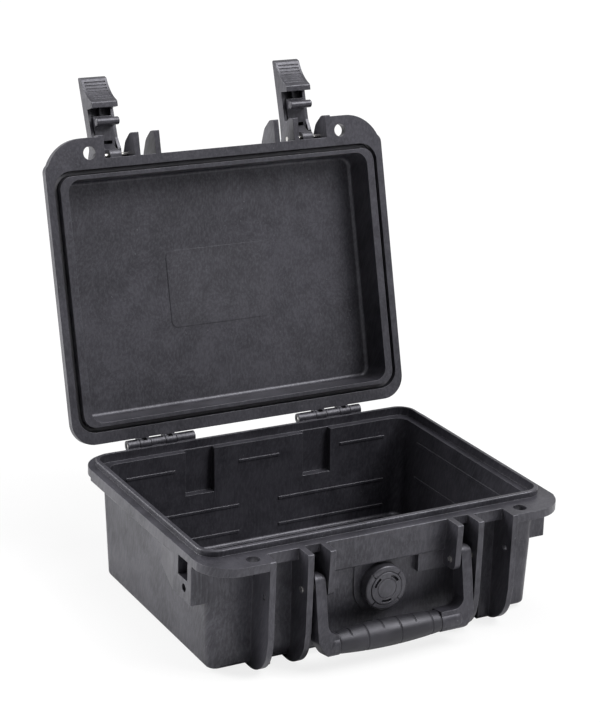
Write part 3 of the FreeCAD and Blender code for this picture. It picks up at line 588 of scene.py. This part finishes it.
@dataclass(frozen=True)
class SoftRubber:
    """Dark soft rubber: even tone, faint bloom and a fine sandy skin."""

    name: str
    colour: Triple
    bloom: Triple
    roughness: float = 0.44
    roughness_change: Span = (-0.04, 0.07)
    roughness_noise: Span = (0.3, 0.7)
    cloud_width: float = 12.0 * MM
    cloud_layers: Layers = Layers(4.0, 0.6)
    cloud_noise: Span = (0.4, 0.68)
    grain_width: float = 0.7 * MM
    grain_layers: Layers = Layers(2.0, 0.6)
    grain_depth: float = 0.05 * MM
    grain_relief: float = 0.6
    edge: float = 0.3 * MM
    shine: float = 0.42

    def material(self) -> bpy.types.Material:
        """Builds the finish.

        Returns:
            The material.
        """
        bench = NodeBench(self.name)
        plain = bench.place()
        cloud = bench.noise(plain, self.cloud_width, self.cloud_layers)
        bloom = bench.remap(cloud, self.cloud_noise)
        bench.shade(bench.tint(self.colour, self.bloom, bloom), "Base Color")
        smoothest, roughest = (self.roughness + change for change in self.roughness_change)
        bench.shade(bench.remap(cloud, self.roughness_noise, (smoothest, roughest)), "Roughness")
        skin = bench.noise(plain, self.grain_width, self.grain_layers)
        normal = bench.bump(skin, self.grain_depth, self.grain_relief, bench.rounded(self.edge))
        bench.shade(normal, "Normal")
        bench.shader.inputs["Specular IOR Level"].default_value = self.shine
        bench.shader.inputs["Specular Tint"].default_value = SHEEN_TINT
        return bench.material


@dataclass(frozen=True)
class DrawnSteel:
    """Bright drawn steel pin with fine lines round it."""

    name: str
    colour: Triple = (0.62, 0.61, 0.59)
    dull: Triple = (0.42, 0.41, 0.40)
    dull_noise: Span = (0.35, 0.7)
    roughness: float = 0.24
    roughness_change: Span = (-0.06, 0.1)
    roughness_noise: Span = (0.3, 0.7)
    line_width: float = 1.0 * MM
    line_stretch: Triple = (0.15, 3.0, 3.0)
    line_layers: Layers = Layers(4.0, 0.6)
    line_depth: float = 0.03 * MM
    line_relief: float = 0.5
    edge: float = 0.25 * MM

    def material(self) -> bpy.types.Material:
        """Builds the finish.

        Returns:
            The material.
        """
        bench = NodeBench(self.name)
        line = bench.noise(bench.place(stretch=self.line_stretch), self.line_width,
                           self.line_layers)
        dull = bench.remap(line, self.dull_noise)
        bench.shade(bench.tint(self.colour, self.dull, dull), "Base Color")
        smoothest, roughest = (self.roughness + change for change in self.roughness_change)
        bench.shade(bench.remap(line, self.roughness_noise, (smoothest, roughest)), "Roughness")
        normal = bench.bump(line, self.line_depth, self.line_relief, bench.rounded(self.edge))
        bench.shade(normal, "Normal")
        bench.shader.inputs["Metallic"].default_value = 1.0
        return bench.material


@dataclass(frozen=True)
class BreathingFilm:
    """Pale film that lets air through: a fine felted web."""

    name: str
    colour: Triple = (0.62, 0.62, 0.60)
    shade: Triple = (0.42, 0.42, 0.41)
    roughness: float = 0.9
    web_width: float = 0.6 * MM
    web_layers: Layers = Layers(6.0, 0.75)
    web_noise: Span = (0.35, 0.65)
    web_depth: float = 0.1 * MM
    web_relief: float = 0.8

    def material(self) -> bpy.types.Material:
        """Builds the finish.

        Returns:
            The material.
        """
        bench = NodeBench(self.name)
        web = bench.noise(bench.place(), self.web_width, self.web_layers)
        hollow = bench.remap(web, self.web_noise)
        bench.shade(bench.tint(self.colour, self.shade, hollow), "Base Color")
        bench.shade(bench.bump(web, self.web_depth, self.web_relief), "Normal")
        bench.shader.inputs["Roughness"].default_value = self.roughness
        return bench.material


class FinishShelf:
    """Every finish of the case, made once."""

    finishes: dict[Slot, MouldedPlastic | SoftRubber | DrawnSteel | BreathingFilm] = {
        Slot.SHELL: MouldedPlastic("shell_plastic", panel=FaintPanel()),
        # The latches get a stronger painted edge highlight.
        Slot.LATCH: MouldedPlastic("latch_plastic", roughness=0.37, mottle=9.0 * MM,
                                   streak_share=0.35, edge_highlight_share=0.6),
        Slot.HANDLE: MouldedPlastic("handle_plastic", roughness=0.42, mottle=11.0 * MM,
                                    streak_share=0.3),
        Slot.VALVE: MouldedPlastic("valve_plastic", roughness=0.36, mottle=9.0 * MM,
                                   streak_share=0.25, colour=(0.018, 0.0175, 0.0215),
                                   pale=(0.046, 0.045, 0.052)),
        Slot.GRIP: SoftRubber("grip_rubber", colour=(0.0105, 0.0102, 0.0125),
                              bloom=(0.021, 0.0205, 0.0245)),
        # Gasket: grey rubber, paler than the shell; partly its own colour, partly painted light
        # that lifts the shade of the lid's groove.
        Slot.GASKET: SoftRubber("gasket_rubber", colour=(0.075, 0.074, 0.080),
                                bloom=(0.105, 0.104, 0.112), roughness=0.55),
        Slot.PIN: DrawnSteel("pin_steel"),
        Slot.MEMBRANE: BreathingFilm("breathing_film"),
    }

    def __init__(self) -> None:
        """Builds the material of each of the record's slots."""
        self.by_slot = {slot: finish.material() for slot, finish in self.finishes.items()}

    def dress_frame(self) -> None:
        """Gives every solid of the frame the finish of its slot."""
        for row in frame["record"]["subparts"]:
            piece = frame["nodes"][row["node"]]
            piece.data.materials.clear()
            piece.data.materials.append(self.by_slot[Slot(row["material_slot"])])
            LOG.info("dressed %s in %s", row["node"], row["material_slot"])

    def dress(self, piece: bpy.types.Object, slot: Slot) -> None:
        """Gives a new piece the finish of a slot.

        Args:
            piece: The new piece.
            slot: The record's material slot.
        """
        piece.data.materials.append(self.by_slot[slot])


@dataclass
class GripSleeve:
    """Soft spindle-shaped sleeve of the handle, with long and short ring grooves.

    Places of grooves are metres along the sleeve from the case's middle plane. The
    reach, middle and fade of the short grooves are radians about the sleeve.
    """

    long_grooves: tuple[float, ...] = (-20.0 * MM, 1.2 * MM, 22.4 * MM)
    short_grooves: tuple[float, ...] = (-29.8 * MM, -9.4 * MM, 11.8 * MM)
    groove_depth: float = 0.45 * MM
    groove_half: float = 0.38 * MM
    short_reach: float = math.radians(62.0)
    short_middle: float = math.radians(112.0)
    short_fade: float = 0.05
    taper: float = 1.8 * MM
    core: float = 4.25 * MM
    edge: float = 0.5 * MM
    edge_reach: float = 0.35 * MM
    along: int = 340
    around: int = 96

    def bell(self, x: np.ndarray, place: float) -> np.ndarray:
        """Section of a groove at a place: a bell curve with the height 1."""
        return np.exp(-(((x - place) / self.groove_half) ** 2))

    def radius(self, x: np.ndarray, angle: np.ndarray, middle: float, half: float,
               thick: float) -> np.ndarray:
        """Radius of the sleeve at each place.

        The sleeve loses its taper with the square of the distance from its middle.
        Each groove takes away a bell curve, and a short groove only near its
        middle angle. The ends are rounded by a fast exponential.

        Args:
            x: Places along the sleeve.
            angle: Angles about the sleeve, 0 at the front and a quarter turn at the top.
            middle: Place of the sleeve's middle.
            half: Half of its length.
            thick: Radius in the middle.

        Returns:
            The radius for each pair of place and angle.
        """
        reach = np.abs(x - middle) / half
        end = self.edge * np.exp(-(1.0 - reach) * half / self.edge_reach)
        result = thick - self.taper * reach**2 - end
        aside = np.abs(angle - self.short_middle) - self.short_reach
        shown = 1.0 / (1.0 + np.exp(aside / self.short_fade))
        for place in self.long_grooves:
            result = result - self.groove_depth * self.bell(x, place)
        for place in self.short_grooves:
            result = result - self.groove_depth * shown * self.bell(x, place)
        return result

    def build(self, shelf: FinishShelf) -> bpy.types.Object:
        """Makes the sleeve in the place of its solid.

        The outer skin is a circle of the sleeve's radius carried along X, and the
        inner one is a plain tube that returns from the far end to the near one.

        Args:
            shelf: The finishes.

        Returns:
            The sleeve.
        """
        low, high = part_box("handle_grip")
        centre, half = (low + high) / 2.0, (high.x - low.x) / 2.0
        thick = (high.z - low.z) / 2.0
        places = np.linspace(low.x, high.x, self.along)
        angles = np.linspace(0.0, FULL_TURN, self.around, endpoint=False)
        x, angle = np.meshgrid(places, angles, indexing="ij")
        outer = self.radius(x, angle, centre.x, half, thick)
        x = np.concatenate((x, x[::-1]))
        radius = np.concatenate((outer, np.full_like(outer, self.core)))
        angle = np.concatenate((angle, angle))
        y = centre.y - radius * np.cos(angle)
        z = centre.z + radius * np.sin(angle)
        piece = grid_piece("grip_sleeve", np.stack((x, y, z), axis=-1), True, True)
        shelf.dress(piece, Slot.GRIP)
        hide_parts("handle_grip")
        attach(piece, "handle")
        return piece


@dataclass
class GasketRing:
    """Soft round-backed ring in the lid's groove, with the joint where its ends meet.

    The joint's place is a share of the way round, and its depth is a share of the
    ring's size.
    """

    width: float = 2.9 * MM
    corner: float = 11.25 * MM
    corner_steps: int = 33
    flatness: float = 0.75
    joint_place: float = 0.62
    joint_half: float = 0.5 * MM
    joint_depth: float = 0.22
    along: int = 1400
    around: int = 20

    def shut_box(self, hinge: LidHinge) -> tuple[np.ndarray, np.ndarray]:
        """Box of the ring's solid with the lid turned shut.

        Args:
            hinge: The lid's hinge.

        Returns:
            The lowest and the highest corner.
        """
        mesh = frame["nodes"]["lid_gasket"].data
        points = np.empty(len(mesh.vertices) * 3)
        mesh.vertices.foreach_get("co", points)
        shut = hinge.shut(points.reshape(-1, 3))
        return shut.min(axis=0), shut.max(axis=0)

    def path(self, half_x: float, half_y: float, radius: float) -> tuple[np.ndarray, np.ndarray]:
        """Even steps along a rounded rectangle, with the outward normal at each.

        Each corner is a quarter circle about its own centre. The straight sides
        join them, and the steps are spaced evenly by length.

        Args:
            half_x: Half of the width.
            half_y: Half of the depth.
            radius: Radius of the corners.

        Returns:
            Points and normals, both of shape (along, 2).
        """
        turn = np.linspace(0.0, QUARTER_TURN, self.corner_steps)
        quarter = np.arange(4)[:, None]
        angle = (turn[None, :] + quarter * QUARTER_TURN).ravel()
        side_x = np.repeat(np.array((1.0, -1.0, -1.0, 1.0)), turn.size)
        side_y = np.repeat(np.array((1.0, 1.0, -1.0, -1.0)), turn.size)
        normal = np.stack((np.cos(angle), np.sin(angle)), axis=-1)
        middle = np.stack((side_x * (half_x - radius), side_y * (half_y - radius)), axis=-1)
        corner = middle + radius * normal
        corner = np.concatenate((corner, corner[:1]))
        normal = np.concatenate((normal, normal[:1]))
        sides = np.linalg.norm(np.diff(corner, axis=0), axis=1)
        length = np.concatenate(((0.0,), np.cumsum(sides)))
        steps = np.linspace(0.0, length[-1], self.along, endpoint=False)
        points, normals = (
            np.stack([np.interp(steps, length, known[:, axis]) for axis in (0, 1)], axis=-1)
            for known in (corner, normal)
        )
        return points, normals / np.linalg.norm(normals, axis=1, keepdims=True)

    def build(self, shelf: FinishShelf) -> bpy.types.Object:
        """Makes the ring in the place of its solid.

        The section is a rounded block: across and upwards it follows the cosine
        and the sine of an angle, each raised to a power below one. It narrows by
        a bell curve at the joint.

        Args:
            shelf: The finishes.

        Returns:
            The ring.
        """
        hinge = LidHinge.of_frame()
        low, high = self.shut_box(hinge)
        half_x, half_y = (high[0] - low[0]) / 2.0, (high[1] - low[1]) / 2.0
        inset = self.width / 2.0
        points, normals = self.path(half_x - inset, half_y - inset, self.corner - inset)
        place = np.arange(self.along) / self.along
        perimeter = np.linalg.norm(np.diff(points, axis=0), axis=1).sum()
        gap = (place - self.joint_place) * perimeter / self.joint_half
        size = 1.0 - self.joint_depth * np.exp(-(gap**2))
        turn = np.linspace(0.0, FULL_TURN, self.around, endpoint=False)
        across, upward = (
            np.sign(wave) * np.abs(wave) ** self.flatness * whole / 2.0
            for wave, whole in ((np.cos(turn), self.width), (np.sin(turn), high[2] - low[2]))
        )
        middle = (low + high) / 2.0
        out = normals[:, None, :] * (across[None, :, None] * size[:, None, None])
        height = middle[2] + upward[None, :] * size[:, None]
        shut = np.concatenate((points[:, None, :] + out + middle[:2], height[:, :, None]), axis=-1)
        piece = grid_piece("gasket_ring", hinge.opened(shut), True, True)
        shelf.dress(piece, Slot.GASKET)
        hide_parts("lid_gasket")
        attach(piece, "lid")
        return piece


@dataclass(frozen=True)
class Softbox:
    """Soft square lamp: where it hangs, how wide it is and its power."""

    name: str
    place: Triple
    size: float
    watts: float


@dataclass
class Studio:
    """Pale floor, soft lamps and the camera of the photograph.

    The camera's angles are degrees, its focal length is in pixels of the
    photograph and its sensor in millimetres.
    """

    target: Triple = (-0.32 * MM, 21.65 * MM, 139.12 * MM)
    distance: float = 1242.7 * MM
    azimuth: float = -28.70
    elevation: float = 18.885
    roll: float = 1.634
    focal_pixels: float = 2095.6
    image_height: float = 722.0
    sensor: float = 36.0
    clip: Span = (0.01, 100.0)
    floor_half: float = 6.0
    floor_lines: int = 9
    floor_drop: float = 0.2 * MM
    floor_tone: float = 0.86
    floor_roughness: float = 0.9
    floor_shine: float = 0.1
    glow_reach: Span = (0.45, 2.2)
    glow_strength: Span = (1.0, 1.19)
    glow_share: float = 0.82
    sky_in_shine: float = 0.70
    sky_on_object: float = 0.09
    lamp_aim: Triple = (0.0, 0.0, 0.12)
    lamps: tuple[Softbox, ...] = (
        Softbox("front_right_softbox", (1.15, -1.0, 1.85), 1.2, 56.0),
        Softbox("back_left_softbox", (-1.4, 0.9, 0.85), 1.1, 46.0),
        Softbox("overhead_softbox", (0.25, -0.1, 1.9), 1.0, 16.0),
    )

    def camera(self) -> bpy.types.Object:
        """Sets up the camera.

        The back direction is (sin a cos e, -cos a cos e, sin e) for azimuth a and
        elevation e, and the camera is then rolled about its own line of sight.

        Returns:
            The camera.
        """
        a, e = math.radians(self.azimuth), math.radians(self.elevation)
        back = Vector((math.sin(a) * math.cos(e), -math.cos(a) * math.cos(e), math.sin(e)))
        data = bpy.data.cameras.new("photo_camera")
        data.sensor_fit = "AUTO"
        data.sensor_width = self.sensor
        data.lens = self.focal_pixels / self.image_height * self.sensor
        data.clip_start, data.clip_end = self.clip
        camera = bpy.data.objects.new("photo_camera", data)
        bpy.context.scene.collection.objects.link(camera)
        place = Matrix.Translation(Vector(self.target) + back * self.distance)
        aim = (-back).to_track_quat("-Z", "Y").to_matrix().to_4x4()
        camera.matrix_world = place @ aim @ Matrix.Rotation(math.radians(self.roll), 4, "Z")
        bpy.context.scene.camera = camera
        return camera

    def floor(self) -> bpy.types.Object:
        """Lays a wide pale floor that stays nearly white to the camera and keeps the shadow.

        The floor is z = 0 minus a hair on a square grid. Away from the case it
        brightens with the distance, so that it meets the white world evenly.

        Returns:
            The floor.
        """
        span = np.linspace(-self.floor_half, self.floor_half, self.floor_lines)
        x, y = np.meshgrid(span, span, indexing="ij")
        points = np.stack((x, y, np.full_like(x, -self.floor_drop)), axis=-1)
        piece = grid_piece("floor", points, False, False)
        bench = NodeBench("pale_floor")
        tone = self.floor_tone
        bench.shader.inputs["Base Color"].default_value = (tone, tone, tone, 1.0)
        bench.shader.inputs["Roughness"].default_value = self.floor_roughness
        bench.shader.inputs["Specular IOR Level"].default_value = self.floor_shine
        glow = bench.add("ShaderNodeEmission")
        glow.inputs["Color"].default_value = WHITE
        away = bench.add("ShaderNodeVectorMath", operation="LENGTH")
        bench.join(bench.place(), away.inputs[0])
        strength = bench.remap(away.outputs["Value"], self.glow_reach, self.glow_strength)
        bench.join(strength, glow.inputs["Strength"])
        path = bench.add("ShaderNodeLightPath")
        share = bench.maths("MULTIPLY", path.outputs["Is Camera Ray"], self.glow_share)
        mix = bench.add("ShaderNodeMixShader")
        bench.join(share, mix.inputs["Fac"])
        bench.join(bench.shader.outputs["BSDF"], mix.inputs[1])
        bench.join(glow.outputs["Emission"], mix.inputs[2])
        surface = bench.tree.nodes["Material Output"].inputs["Surface"]
        bench.join(mix.outputs["Shader"], surface)
        piece.data.materials.append(bench.material)
        return piece

    def sky(self) -> None:
        """Sets an even world: white to the camera, dimmer in reflections, low on the object."""
        world = bpy.data.worlds.new("studio")
        world.use_nodes = True
        bpy.context.scene.world = world
        tree = world.node_tree
        sky = tree.nodes["Background"]
        sky.inputs["Color"].default_value = WHITE
        path = tree.nodes.new("ShaderNodeLightPath")
        seen = tree.nodes.new("ShaderNodeMath")
        seen.operation = "MULTIPLY_ADD"
        seen.inputs[1].default_value = self.sky_in_shine
        strength = tree.nodes.new("ShaderNodeMapRange")
        strength.inputs["To Min"].default_value = self.sky_on_object
        strength.inputs["To Max"].default_value = 1.0
        tree.links.new(path.outputs["Is Glossy Ray"], seen.inputs[0])
        tree.links.new(path.outputs["Is Camera Ray"], seen.inputs[2])
        tree.links.new(seen.outputs["Value"], strength.inputs["Value"])
        tree.links.new(strength.outputs["Result"], sky.inputs["Strength"])

    def lamp(self, softbox: Softbox) -> None:
        """Hangs a lamp so that it faces the case.

        Args:
            softbox: The lamp's name, place, size and power.
        """
        data = bpy.data.lights.new(softbox.name, "AREA")
        data.shape = "SQUARE"
        data.size = softbox.size
        data.energy = softbox.watts
        lamp = bpy.data.objects.new(softbox.name, data)
        bpy.context.scene.collection.objects.link(lamp)
        aim = (Vector(self.lamp_aim) - Vector(softbox.place)).to_track_quat("-Z", "Y")
        lamp.matrix_world = Matrix.Translation(Vector(softbox.place)) @ aim.to_matrix().to_4x4()

    def build(self) -> None:
        """Builds the whole set and reports each part of it."""
        for part in (self.camera(), self.floor()):
            LOG.info("set up %s", part.name)
        self.sky()
        for softbox in self.lamps:
            self.lamp(softbox)
            LOG.info("hung %s", softbox.name)
        bpy.context.scene.view_settings.view_transform = "Standard"


def main() -> None:
    """Dresses the solids, builds the new pieces and sets the studio, in that order."""
    logging.basicConfig(level=logging.INFO, format="%(name)s: %(message)s")
    shelf = FinishShelf()
    shelf.dress_frame()
    for maker in (GripSleeve(), GasketRing()):
        piece = maker.build(shelf)
        LOG.info("built %s", piece.name)
    Studio().build()


if __name__ == "__main__":
    main()
